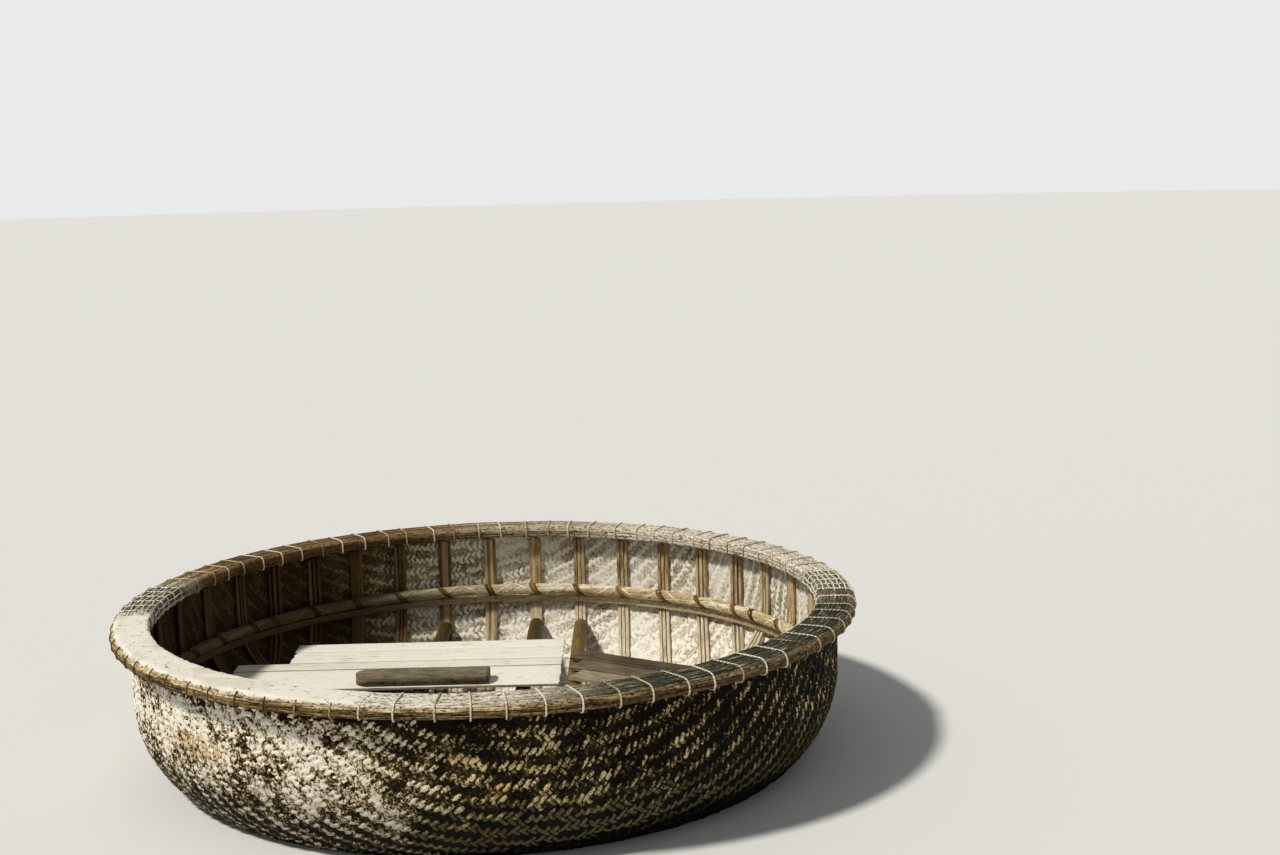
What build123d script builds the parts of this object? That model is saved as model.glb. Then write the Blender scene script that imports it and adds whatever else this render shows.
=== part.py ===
from build123d import *
import math
import os

# A round basket boat of woven bamboo, about 2.1 m across: a shallow bowl of weave
# with an upright wall, a lashed bamboo rim, bent split-bamboo ribs in two crossing
# sets, a hoop tied round inside them, and loose floor boards laid over poles.
# Millimetres, +Z up. The origin is on the boat's upright axis, at the waterline.

# Bowl
HULL_RADIUS = 1000
WALL = 14
FREEBOARD = 436
WALL_DROP = 200
BILGE_RADIUS = 300
DISH = 78
# Gap between pieces that lie against each other on a curved face
SEAT = 0.3

# Rim, from the wall outwards and inwards and from the top down
RIM_OUT = 50
RIM_IN = 42
CAP_THICK = 9
CAP_SPLINTS = 5
CAP_GAP = 2
CAP_EASE = 4
HOOP_HEIGHT = 14
HOOP_GAP = 1
HOOP_EASE = 6

# Lashings over the rim
CORD = 5
LASHINGS = 76
JOINT_PITCH = 1.55
LEFT_JOINT = (170, 186)
RIGHT_JOINT = (-2, 11)

# Ribs
RIB_WIDTH = 38
RIB_THICK = 10
RIB_PITCH = 9
LOWER_RIB_COUNT = 12
UPPER_RIB_COUNT = 8

# Hoop tied inside the ribs, and the thin strip below it
MID_HOOP_DROP = 220
MID_HOOP_THICK = 38
STRIP_HEIGHT = 22
STRIP_THICK = 6
STRIP_GAP = 4

# Floor
FLOOR_DROP = 300
BOARD_THICK = 16
POLE_THICK = 48
LAST_POLE_END = 215
BOARD_END_GAP = 12
BOARD_GAP = 5
# Boards from the middle outwards: width, and how far the left end falls short of its reach
BOARDS = ((198, 40), (71, 10), (212, 0))
WELL_HALF = 110
FLOOR_RIGHT_END = 200
SIDE_PLANKS = 3
PLANK_TURN = -31
PLANK_WIDTH = 86
PLANK_GAP = 4
PLANK_REACH = 524
SEAT_BLOCK_LENGTH = 400
SEAT_BLOCK_WIDTH = 80
SEAT_BLOCK_HEIGHT = 38
SEAT_BLOCK_SIDE = 14
SEAT_BLOCK_LEFT = -420
SEAT_BLOCK_BACK = 196

WALL_INSIDE = HULL_RADIUS - WALL
RIM_OUTSIDE = HULL_RADIUS + RIM_OUT
RIM_INSIDE = WALL_INSIDE - RIM_IN
CAP_UNDER = FREEBOARD - CAP_THICK
RIM_UNDER = CAP_UNDER - 2 * HOOP_HEIGHT - HOOP_GAP
RIB_TOP = RIM_UNDER - 2 * SEAT - CORD
FLOOR_TOP = FREEBOARD - FLOOR_DROP
FLOOR_UNDER = FLOOR_TOP - BOARD_THICK


def bowl_line(wall_radius, drop, bilge_radius, top):
    """Half outline of a bowl, from its top edge down the wall, round the bilge to its lowest point."""
    centre_r = wall_radius - bilge_radius
    bottom_radius = (centre_r**2 + DISH**2) / (2 * DISH) + bilge_radius
    lean = math.degrees(math.asin(centre_r / (bottom_radius - bilge_radius)))
    bilge_z = FREEBOARD - drop
    bottom_z = bilge_z - bilge_radius - DISH
    wall = Line((wall_radius, top), (wall_radius, bilge_z))
    bilge = CenterArc((centre_r, bilge_z), bilge_radius, 0, lean - 90)
    bottom = CenterArc((0, bottom_z + bottom_radius), bottom_radius, lean - 90, -lean)
    return [wall, bilge, bottom]


def bowl_radius(wall_radius, drop, bilge_radius, z):
    """Radius of the same bowl at a level on its wall or bilge."""
    below = max(0, FREEBOARD - drop - z)
    return wall_radius - bilge_radius + math.sqrt(bilge_radius**2 - below**2)


def shell(outside, thick, top):
    """Bowl of even thickness, its outside given as wall radius, drop and bilge radius."""
    wall_radius, drop, bilge_radius = outside
    outer = bowl_line(wall_radius, drop, bilge_radius, top)
    inner = bowl_line(wall_radius - thick, drop, bilge_radius - thick, top)
    rim = Line(outer[0] @ 0, inner[0] @ 0)
    axis = Line(outer[-1] @ 1, inner[-1] @ 1)
    return revolve(Plane.XZ * make_face(outer + [axis] + inner + [rim]), Axis.Z)


def ring(inner, outer, low, high, eased_edge=None, ease=0):
    """Flat-sided hoop turned about the axis; its outer edge may be eased at the top or the bottom."""
    corners = [(inner, low), (outer, low), (outer, high), (inner, high)]
    if eased_edge == "bottom":
        corners[1:2] = [(outer - ease, low), (outer, low + ease)]
    if eased_edge == "top":
        corners[2:3] = [(outer, high - ease), (outer - ease, high)]
    return revolve(Plane.XZ * make_face(Polyline(*corners, close=True)), Axis.Z)


HULL_OUTSIDE = (HULL_RADIUS, WALL_DROP, BILGE_RADIUS)
LOWER_RIB_OUTSIDE = (WALL_INSIDE - SEAT, WALL_DROP, BILGE_RADIUS - WALL - SEAT)
UPPER_RIB_LIFT = WALL + RIB_THICK + 2 * SEAT
UPPER_RIB_OUTSIDE = (WALL_INSIDE - SEAT, WALL_DROP - UPPER_RIB_LIFT, BILGE_RADIUS)


def inside_of(outside, thick):
    """The inner face of a bowl of that outside and thickness."""
    wall_radius, drop, bilge_radius = outside
    return (wall_radius - thick, drop, bilge_radius - thick)


def rib_offsets(count):
    """How far the ribs on one side of the middle lie from it, their ends at an even pitch round the wall."""
    angles = [RIB_PITCH * (i + 0.5) for i in range(count // 2)]
    return [WALL_INSIDE * math.sin(math.radians(a)) for a in angles]


def hull():
    return shell(HULL_OUTSIDE, WALL, CAP_UNDER)


def rim_hoops():
    """Two outer and two inner hoops, one above the other, either side of the wall's edge."""
    hoops = {}
    rows = (("upper", CAP_UNDER, None), ("lower", CAP_UNDER - HOOP_HEIGHT - HOOP_GAP, "bottom"))
    for name, high, eased_edge in rows:
        low = high - HOOP_HEIGHT
        outer = ring(HULL_RADIUS + SEAT, RIM_OUTSIDE, low, high, eased_edge, HOOP_EASE)
        hoops[f"outer_hoop_{name}"] = outer
        hoops[f"inner_hoop_{name}"] = ring(RIM_INSIDE, WALL_INSIDE - SEAT, low, high)
    return hoops


def rim_cap():
    """Flat splints side by side over the wall's edge and the hoops, the outermost eased."""
    splints = {}
    step = (RIM_OUTSIDE - RIM_INSIDE + CAP_GAP) / CAP_SPLINTS
    for number in range(1, CAP_SPLINTS + 1):
        inner = RIM_INSIDE + (number - 1) * step
        eased_edge = "top" if number == CAP_SPLINTS else None
        splint = ring(inner, inner + step - CAP_GAP, CAP_UNDER, FREEBOARD, eased_edge, CAP_EASE)
        splints[f"cap_splint_{number}"] = splint
    return splints


def lashing_loop():
    """One turn of cord over the rim, its two ends tucked to the wall under the hoops."""
    low = RIM_UNDER - SEAT
    high = FREEBOARD + SEAT
    near = RIM_INSIDE - SEAT
    far = RIM_OUTSIDE + SEAT
    outline = Polyline(
        (HULL_RADIUS + SEAT, low),
        (far, low),
        (far, high),
        (near, high),
        (near, low),
        (WALL_INSIDE - SEAT, low),
        (WALL_INSIDE - SEAT, low - CORD),
        (near - CORD, low - CORD),
        (near - CORD, high),
        (near, high + CORD),
        (far, high + CORD),
        (far + CORD, high),
        (far + CORD, low - CORD),
        (HULL_RADIUS + SEAT, low - CORD),
        close=True,
    )
    return extrude(Plane.XZ * make_face(outline), CORD / 2, both=True)


def turned(piece, angles):
    return Compound([Rot(0, 0, angle) * piece for angle in angles])


def rim_lashings():
    """Single loops round the whole rim, and close-set loops where the rim's ends overlap."""
    loop = lashing_loop()
    joints = {"joint_lashings_left": LEFT_JOINT, "joint_lashings_right": RIGHT_JOINT}
    pitch = 360 / LASHINGS
    singles = []
    for i in range(LASHINGS):
        angle = pitch * (i + 0.5)
        clear = [
            min(abs(angle + turn - start), abs(angle + turn - end)) > pitch / 2
            and not start < angle + turn < end
            for start, end in joints.values()
            for turn in (-360, 0, 360)
        ]
        if all(clear):
            singles.append(angle)
    found = {"rim_lashings": turned(loop, singles)}
    for name, (start, end) in joints.items():
        count = int((end - start) / JOINT_PITCH)
        found[name] = turned(loop, [start + JOINT_PITCH * i for i in range(count + 1)])
    return found


def ribs():
    """Bent strips cut from a bowl: the lower set runs fore and aft, the upper set across it."""
    sets = {
        "lower_ribs": (LOWER_RIB_OUTSIDE, LOWER_RIB_COUNT, 0),
        "upper_ribs": (UPPER_RIB_OUTSIDE, UPPER_RIB_COUNT, 90),
    }
    span = 2 * HULL_RADIUS
    found = {}
    for name, (outside, count, turn) in sets.items():
        bowl = shell(outside, RIB_THICK, RIB_TOP)
        strips = []
        for offset in rib_offsets(count):
            for side in (-1, 1):
                slab = Rot(0, 0, turn) * Pos(side * offset, 0, 0) * Box(RIB_WIDTH, span, span)
                strips += (bowl & slab).solids()
        found[name] = Compound(strips)
    return found


def mid_hoop():
    """Round bundle of bamboo tied against the ribs, with one thin strip below it."""
    rib_face = inside_of(UPPER_RIB_OUTSIDE, RIB_THICK)
    centre_z = FREEBOARD - MID_HOOP_DROP
    half = MID_HOOP_THICK / 2
    centre_r = bowl_radius(*inside_of(rib_face, SEAT + half), centre_z)
    bundle = revolve(Plane.XZ * Pos(centre_r, centre_z) * Circle(half), Axis.Z)
    strip_high = centre_z - half - STRIP_GAP
    strip_low = strip_high - STRIP_HEIGHT
    strip_out = bowl_radius(*rib_face, strip_low) - SEAT
    strip = ring(strip_out - STRIP_THICK, strip_out, strip_low, strip_high)
    return {"mid_hoop": bundle, "mid_hoop_strip": strip}


def bowl_filled(outside, top):
    """The whole space inside a bowl's face, up to a level."""
    line = bowl_line(*outside, top)
    lid = Polyline(line[-1] @ 1, (0, top), line[0] @ 0)
    return revolve(Plane.XZ * make_face(line + [lid]), Axis.Z)


def floor_poles():
    """Bamboo poles laid across the bowl on chosen lower ribs, their ends cut to the bilge."""
    offsets = rib_offsets(LOWER_RIB_COUNT)
    bowl = bowl_filled(inside_of(LOWER_RIB_OUTSIDE, RIB_THICK + SEAT), FREEBOARD)
    radius = POLE_THICK / 2
    centre_z = FLOOR_UNDER - SEAT - radius
    # Side of the middle, which rib counted from it, and how far past the middle the pole runs
    seats = (
        (-1, 4, HULL_RADIUS),
        (-1, 1, HULL_RADIUS),
        (1, 0, HULL_RADIUS),
        (1, 1, HULL_RADIUS),
        (1, 4, LAST_POLE_END),
    )
    poles = {}
    for number, (side, rib, end) in enumerate(seats, 1):
        place = Pos(side * offsets[rib], (end - HULL_RADIUS) / 2, centre_z) * Rot(90, 0, 0)
        poles[f"floor_pole_{number}"] = place * Cylinder(radius, HULL_RADIUS + end) & bowl
    return poles


def board_reach():
    """How far from the axis a board may reach, clear of the ribs at its underside."""
    face = inside_of(UPPER_RIB_OUTSIDE, RIB_THICK)
    return bowl_radius(*face, FLOOR_UNDER) - BOARD_END_GAP


def floor_boards():
    """Loose boards laid on the poles, left of the middle on the far side, across on the near side."""
    reach = board_reach()
    boards = {}
    inner = WELL_HALF
    for number, (width, short) in enumerate(BOARDS, 1):
        outer = inner + width
        end = math.sqrt(reach**2 - outer**2)
        left = -end + short
        far = Pos((left + FLOOR_RIGHT_END) / 2, inner + width / 2, FLOOR_TOP - BOARD_THICK / 2)
        boards[f"far_board_{number}"] = far * Box(FLOOR_RIGHT_END - left, width, BOARD_THICK)
        near = Pos((left + end) / 2, -inner - width / 2, FLOOR_TOP - BOARD_THICK / 2)
        boards[f"near_board_{number}"] = near * Box(end - left, width, BOARD_THICK)
        inner = outer + BOARD_GAP
    return boards


def side_planks():
    """Weathered planks laid askew from the boards' right ends to the wall."""
    reach = board_reach()
    turn = math.radians(PLANK_TURN)
    left = FLOOR_RIGHT_END + PLANK_GAP
    near = PLANK_GAP - WELL_HALF
    planks = {}
    outer = PLANK_REACH
    for number in range(1, SIDE_PLANKS + 1):
        inner = outer - PLANK_WIDTH
        start = (left + inner * math.sin(turn)) / math.cos(turn)
        at_wall = math.sqrt(reach**2 - outer**2)
        at_near_boards = (near - inner * math.cos(turn)) / math.sin(turn)
        end = min(at_wall, at_near_boards)
        place = Pos((start + end) / 2, (inner + outer) / 2, FLOOR_TOP - BOARD_THICK / 2)
        plank = place * Box(end - start, PLANK_WIDTH, BOARD_THICK)
        planks[f"side_plank_{number}"] = Rot(0, 0, PLANK_TURN) * plank
        outer = inner - PLANK_GAP
    return planks


def seat_block():
    """Half-round length of driftwood lying on the boards, its left end rounded."""
    half = SEAT_BLOCK_WIDTH / 2
    sides = Polyline((-half, SEAT_BLOCK_SIDE), (-half, 0), (half, 0), (half, SEAT_BLOCK_SIDE))
    crown = ThreePointArc(sides @ 1, (0, SEAT_BLOCK_HEIGHT), sides @ 0)
    bar = extrude(Plane.YZ * make_face([sides, crown]), SEAT_BLOCK_LENGTH)
    plan = Pos(SEAT_BLOCK_LENGTH / 2 + half, 0) * Rectangle(SEAT_BLOCK_LENGTH, SEAT_BLOCK_WIDTH)
    plan += Pos(half, 0) * Circle(half)
    block = bar & extrude(plan, SEAT_BLOCK_HEIGHT)
    return Pos(SEAT_BLOCK_LEFT, SEAT_BLOCK_BACK - half, FLOOR_TOP) * block


nodes = {"hull_basket": hull()}
nodes.update(rim_hoops())
nodes.update(rim_cap())
nodes.update(rim_lashings())
nodes.update(ribs())
nodes.update(mid_hoop())
nodes.update(floor_poles())
nodes.update(floor_boards())
nodes.update(side_planks())
nodes["seat_block"] = seat_block()

os.makedirs("parts", exist_ok=True)
for name, piece in nodes.items():
    export_step(piece, f"parts/{name}.step")
    print(name, len(piece.solids()), "solids,", round(piece.volume / 1e6, 2), "litres")
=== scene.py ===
# %% [markdown]
# A round basket boat. It is one big mat of split bamboo, pushed down into a bowl,
# with a lashed rim, bent ribs, a hoop tied inside them and a floor of loose boards.
# The lesson dresses a measured model of it: every piece sits where the model says.

# %% Load the measured model
import bpy
import math
import random
from functools import partial
from mathutils import Matrix, Vector, noise as field


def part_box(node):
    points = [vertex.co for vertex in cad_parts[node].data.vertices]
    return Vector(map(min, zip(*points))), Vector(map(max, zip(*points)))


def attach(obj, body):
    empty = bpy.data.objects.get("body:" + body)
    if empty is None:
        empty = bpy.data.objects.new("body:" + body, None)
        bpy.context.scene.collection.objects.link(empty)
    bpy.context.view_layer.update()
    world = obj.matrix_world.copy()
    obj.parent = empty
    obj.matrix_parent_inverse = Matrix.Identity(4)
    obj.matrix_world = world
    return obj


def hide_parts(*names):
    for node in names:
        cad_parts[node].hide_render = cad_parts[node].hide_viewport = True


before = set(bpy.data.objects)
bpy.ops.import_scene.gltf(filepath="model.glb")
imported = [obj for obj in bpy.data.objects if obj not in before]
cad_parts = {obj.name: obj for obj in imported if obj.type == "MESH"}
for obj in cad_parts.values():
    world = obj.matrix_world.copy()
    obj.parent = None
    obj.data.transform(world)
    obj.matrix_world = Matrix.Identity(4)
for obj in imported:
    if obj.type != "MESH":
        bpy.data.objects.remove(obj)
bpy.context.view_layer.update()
print(len(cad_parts), "measured pieces")

# %% [markdown]
# The pieces' boxes give most sizes. The few below are how the bowl is bent and how
# thick things are, in metres, as the measured model was drawn.

# %% Sizes of the bowl and the rim
HULL_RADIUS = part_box("hull_basket")[1].x
HULL_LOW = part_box("hull_basket")[0].z
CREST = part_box("cap_splint_1")[1].z
CAP_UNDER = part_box("cap_splint_1")[0].z
RIM_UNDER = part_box("outer_hoop_lower")[0].z
RIM_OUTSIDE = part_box("outer_hoop_upper")[1].x
WALL = 0.014
WALL_DROP = 0.200
BILGE_RADIUS = 0.300
SEAT = 0.0003
RIM_IN = 0.042
WALL_INSIDE = HULL_RADIUS - WALL
RIM_INSIDE = WALL_INSIDE - RIM_IN
DISH = CREST - WALL_DROP - BILGE_RADIUS - HULL_LOW
print("bowl radius", round(HULL_RADIUS, 3), "crest", round(CREST, 3), "dish", round(DISH, 3))

# %% [markdown]
# The camera comes first, because it says what shows. It looks along +Y, a little
# down from the near side, and leans a little, as one held by hand does.

# %% Camera
LENS_MM = 50
EYE = Vector((0.449, -4.996, 1.243 + CREST))
PITCH_DOWN = math.radians(8.73)
ROLL = math.radians(1.40)

forward = Vector((0, math.cos(PITCH_DOWN), -math.sin(PITCH_DOWN)))
level_right = Vector((1, 0, 0))
level_up = level_right.cross(forward)
right = level_right * math.cos(ROLL) - level_up * math.sin(ROLL)
up = level_up * math.cos(ROLL) + level_right * math.sin(ROLL)
camera_data = bpy.data.cameras.new("camera")
camera_data.lens = LENS_MM
camera_data.sensor_width = 36
camera = bpy.data.objects.new("camera", camera_data)
camera.matrix_world = Matrix.Translation(EYE) @ Matrix((right, up, -forward)).transposed().to_4x4()
bpy.context.scene.collection.objects.link(camera)
bpy.context.scene.camera = camera
bpy.context.scene.view_settings.view_transform = "Standard"
print("camera", round((EYE - Vector((0, 0, CREST))).length, 2), "m from the middle of the rim")

# %% [markdown]
# Finishes and shapes are both trees of nodes. A few short functions lay the nodes of
# every tree below: one opens a tree, one puts a node in it and feeds its sockets, and
# the others do sums. Each takes plain values or the sockets of earlier nodes.


# %% Short ways to lay nodes
def open_tree(tree):
    """Nodes go into this tree from here on."""
    global open_now
    open_now = tree


def put(kind, inputs=None, **settings):
    """A node of a kind, set and fed."""
    made = open_now.nodes.new(kind)
    for key, value in settings.items():
        setattr(made, key, value)
    for key, value in (inputs or {}).items():
        if isinstance(value, bpy.types.NodeSocket):
            open_now.links.new(value, made.inputs[key])
        else:
            made.inputs[key].default_value = value
    return made


def lay(kind, inputs=None, **settings):
    """The first output of a node that is put down."""
    return put(kind, inputs, **settings).outputs[0]


def calc(operation, *values):
    return lay("ShaderNodeMath", dict(enumerate(values)), operation=operation)


def mul(first, *others):
    for value in others:
        first = calc("MULTIPLY", first, value)
    return first


add, sub, div = (partial(calc, name) for name in ("ADD", "SUBTRACT", "DIVIDE"))
mul_add, larger, size_of = (partial(calc, name) for name in ("MULTIPLY_ADD", "MAXIMUM", "ABSOLUTE"))


def calc3(operation, *values):
    made = put("ShaderNodeVectorMath", dict(enumerate(values)), operation=operation)
    return made.outputs["Value" if operation == "LENGTH" else "Vector"]


def times(vector, *factors):
    return calc3("MULTIPLY", vector, factors)


def scaled(vector, scale):
    return put("ShaderNodeVectorMath", {0: vector, "Scale": scale}, operation="SCALE").outputs["Vector"]


def split(vector):
    return list(put("ShaderNodeSeparateXYZ", {0: vector}).outputs)


def join(x, y, z=0.0):
    return lay("ShaderNodeCombineXYZ", {0: x, 1: y, 2: z})


def noise(vector, scale, detail=3.0, roughness=0.55):
    fed = {"Vector": vector, "Scale": scale, "Detail": detail, "Roughness": roughness}
    return lay("ShaderNodeTexNoise", fed)


def total(*terms):
    """Sum of (value, weight) pairs."""
    found = 0.0
    for value, weight in terms:
        found = mul_add(value, weight, found)
    return found


# %% Short ways to run a shape tree
def shape_tree(name, floats, ints):
    """Opens a Geometry Nodes tree with a named input for each size, and gives its inputs."""
    tree = bpy.data.node_groups.new(name, "GeometryNodeTree")
    tree.interface.new_socket("Geometry", in_out="INPUT", socket_type="NodeSocketGeometry")
    for kind, labels in (("NodeSocketFloat", floats), ("NodeSocketInt", ints)):
        for label in labels.split():
            tree.interface.new_socket(label, in_out="INPUT", socket_type=kind)
    tree.interface.new_socket("Geometry", in_out="OUTPUT", socket_type="NodeSocketGeometry")
    open_tree(tree)
    return put("NodeGroupInput").outputs


def store(geometry, name, value, kind="FLOAT", domain="POINT"):
    fed = {"Geometry": geometry, "Name": name, "Value": value}
    return lay("GeometryNodeStoreNamedAttribute", fed, data_type=kind, domain=domain)


def stored(name, kind="FLOAT"):
    return lay("GeometryNodeInputNamedAttribute", {"Name": name}, data_type=kind)


def chance(low, high, seed, number=None):
    fed = {2: low, 3: high, "Seed": seed}
    if number:
        fed["ID"] = number
    return put("FunctionNodeRandomValue", fed, data_type="FLOAT").outputs[1]


def position():
    return lay("GeometryNodeInputPosition")


def moved(geometry, **fed):
    return lay("GeometryNodeSetPosition", {"Geometry": geometry, **fed})


def flat_grid(wide, deep, columns, rows):
    return lay("GeometryNodeMeshGrid", {0: wide, 1: deep, 2: columns, 3: rows})


def line_of(given):
    """The source's edges as a line to follow."""
    return lay("GeometryNodeMeshToCurve", {"Mesh": given["Geometry"]})


def on_line(given, mode, how_far):
    """Place and way on the source's line, at a share of it (Factor) or a length."""
    fed = {"Curves": line_of(given), mode: how_far}
    return put("GeometryNodeSampleCurve", fed, mode=mode.upper()).outputs


def realized(geometry):
    return lay("GeometryNodeRealizeInstances", {"Geometry": geometry})


def swept(grid, angle, radius, level):
    """A flat grid set round the boat's axis."""
    round_x = mul(radius, calc("COSINE", angle))
    round_y = mul(radius, calc("SINE", angle))
    return moved(grid, Position=join(round_x, round_y, level))


def close_tree(geometry, material, crease=0.8):
    """Ends a tree as plain mesh, smooth but for its creases, with its finish on it."""
    smooth = lay("GeometryNodeSetShadeSmooth", {"Geometry": realized(geometry)})
    bend = lay("GeometryNodeInputMeshEdgeAngle")
    sharp = lay("FunctionNodeCompare", {0: bend, 1: crease}, operation="GREATER_THAN")
    fed = {"Geometry": smooth, "Selection": sharp, "Shade Smooth": False}
    creased = lay("GeometryNodeSetShadeSmooth", fed, domain="EDGE")
    done = lay("GeometryNodeSetMaterial", {"Geometry": creased, "Material": material})
    put("NodeGroupOutput", {0: done})
    return open_now


def settle(name, mesh, slot, *stands_for):
    """Keeps a finished mesh as a piece that rides with the boat."""
    piece = bpy.data.objects.new(name, mesh)
    bpy.context.scene.collection.objects.link(piece)
    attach(piece, "root")
    if stands_for:
        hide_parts(*stands_for)
    mesh.calc_loop_triangles()
    low = [round(min(v.co[i] for v in mesh.vertices), 3) for i in range(3)]
    high = [round(max(v.co[i] for v in mesh.vertices), 3) for i in range(3)]
    print(name, len(mesh.loop_triangles), "triangles", low, high)
    return piece


def grow(name, tree, slot, source, stands_for=(), **sizes):
    """Runs a tree on a source and keeps the result as a plain mesh."""
    seed = bpy.data.objects.new(name + "_seed", source)
    bpy.context.scene.collection.objects.link(seed)
    modifier = seed.modifiers.new("shape", "NODES")
    modifier.node_group = tree
    for item in tree.interface.items_tree:
        if item.in_out == "INPUT" and item.name in sizes:
            modifier[item.identifier] = sizes[item.name]
    depsgraph = bpy.context.evaluated_depsgraph_get()
    mesh = bpy.data.meshes.new_from_object(seed.evaluated_get(depsgraph))
    seed.modifiers.remove(modifier)
    bpy.data.objects.remove(seed)
    return settle(name, mesh, slot, *stands_for)


def full_turn(steps):
    """Angles at even steps round a circle."""
    return [math.tau * i / steps for i in range(steps)]


def paths(lines, closed=False, seed=1):
    """A mesh of edges for a tree to follow. A line is a list of (place, facing) pairs."""
    draw = random.Random(seed)
    points, edges, facings, shades = [], [], [], []
    for line in lines:
        first = len(points)
        count = len(line)
        shade = draw.random()
        for place, facing in line:
            points.append(place)
            facings.extend(facing)
            shades.append(shade)
        edges.extend((first + i, first + i + 1) for i in range(count - 1))
        if closed:
            edges.append((first + count - 1, first))
    mesh = bpy.data.meshes.new("paths")
    mesh.from_pydata(points, edges, [])
    mesh.attributes.new("facing", "FLOAT_VECTOR", "POINT").data.foreach_set("vector", facings)
    mesh.attributes.new("shade", "FLOAT", "POINT").data.foreach_set("value", shades)
    return mesh


# %% [markdown]
# Old bamboo is never one colour. Sun bleaches it to cream on the left of this boat,
# and tar, damp and moss darken it on the right and near the waterline; painted
# sunlight and painted shade add to both. The trees leave two marks on each mesh: its
# grain, which says how far along and across the strip a point is, and a random shade
# for the strip. The finishes read both.


# %% Colours
def colour(hexcode):
    """A colour written as it should look, as the linear values that shaders use."""
    parts = [int(hexcode[i : i + 2], 16) / 255 for i in (0, 2, 4)]
    return tuple(c / 12.92 if c < 0.04 else ((c + 0.055) / 1.055) ** 2.4 for c in parts) + (1,)


def ramp(value, *stops):
    """A colour by value, from a few stops."""
    made = put("ShaderNodeValToRGB", {0: value})
    points = made.color_ramp.elements
    for where, _ in stops[1:-1]:
        points.new(where)
    for point, (where, code) in zip(points, stops):
        point.position = where
        point.color = colour(code)
    return made.outputs[0]


def mix(share, a, b, blend="MIX"):
    """Two tints mixed, each a socket or a written colour."""
    a, b = (colour(tint) if isinstance(tint, str) else tint for tint in (a, b))
    fed = {0: share, 6: a, 7: b}
    return put("ShaderNodeMix", fed, data_type="RGBA", blend_type=blend).outputs[2]


def fade(value, low, high):
    """0 at low, 1 at high, eased between."""
    fed = {0: value, 1: low, 2: high, 3: 0.0, 4: 1.0}
    return lay("ShaderNodeMapRange", fed, interpolation_type="SMOOTHSTEP")


def new_finish(name):
    material = bpy.data.materials.new(name)
    material.use_nodes = True
    material.node_tree.nodes.clear()
    open_tree(material.node_tree)
    return material


def end_finish(tint, height, roughness, bump=0.5, depth=0.002, gloss=0.12):
    relief = put("ShaderNodeBump", {"Height": height, "Strength": bump, "Distance": depth})
    fed = {"Base Color": tint, "Roughness": roughness, "Specular IOR Level": gloss}
    shader = put("ShaderNodeBsdfPrincipled", {**fed, "Normal": relief.outputs[0]})
    put("ShaderNodeOutputMaterial", {"Surface": shader.outputs[0]})


def multiply_in(share, tint, by):
    """A tint multiplied by another, as far as share says."""
    return mix(share, tint, mix(1.0, tint, by, "MULTIPLY"))


def here_now():
    """The object's own place, which stays on it wherever it is moved."""
    return put("ShaderNodeTexCoord").outputs["Object"]


def marks():
    """The place, and the two marks that the trees leave: shade and grain."""
    grain = put("ShaderNodeAttribute", attribute_name="grain").outputs["Vector"]
    shade = put("ShaderNodeAttribute", attribute_name="shade").outputs["Fac"]
    return here_now(), shade, grain


# %% [markdown]
# One finish serves all canes and boards. Noise drawn out along the grain gives the
# fibres and blots, and a sum of them picks a colour between a dark, a middle and a
# pale one. Pits and splits go in last. Each strip reads its own part of the noise.


# %% Finish for canes and boards
def cane_finish(name, dark, mid, pale, places=None, lift=0.0, pitted=0.5, fibre=22.0, roughness=0.7):
    """Weathered bamboo or wood, its grain along the strip. Places may change it by where it is."""
    material = new_finish(name)
    here, shade, grain = marks()
    along = calc3("ADD", grain, join(mul(shade, 37.0), mul(shade, 11.0)))
    fibres = noise(times(along, 1.0, fibre, fibre), 14.0, 4.0, 0.6)
    blots = noise(times(along, 1.0, 5.0, 5.0), 16.0, 4.0, 0.7)
    stains = noise(here, 3.5, 4.0, 0.6)
    pits = noise(times(along, 1.0, 2.2, 1.0), 70.0, 5.0, 0.75)
    tone = add(total((shade, 0.40), (stains, 0.45), (fibres, 0.60), (blots, 0.45)), lift - 0.46)
    tint = ramp(tone, (0.22, dark), (0.5, mid), (0.75, pale))
    if places:
        tint = places(here, tint, blots, fibres)
    holes = mul(fade(pits, 0.40 + 0.08 * pitted, 0.33 + 0.07 * pitted), min(pitted, 1.0))
    dirt = larger(holes, mul(fade(fibres, 0.38, 0.31), 0.8))
    tint = multiply_in(dirt, tint, "4d3c24")
    end_finish(tint, total((fibres, 1.0), (blots, 0.6), (dirt, -0.6)), roughness)
    return material


# %% [markdown]
# Wear and light aren't the same all round. Each function below fades a stain or a painted
# shade in by where a point of the boat is: x runs to the right, y away from the viewer, the level up.

# %% Stains and painted shade by place on rim, ribs, hoop and boards
JOINT_Y = 0.05


def from_joint(y):
    """How far a point lies from the line across the boat that both rim joints are on."""
    return size_of(sub(y, JOINT_Y))


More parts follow.
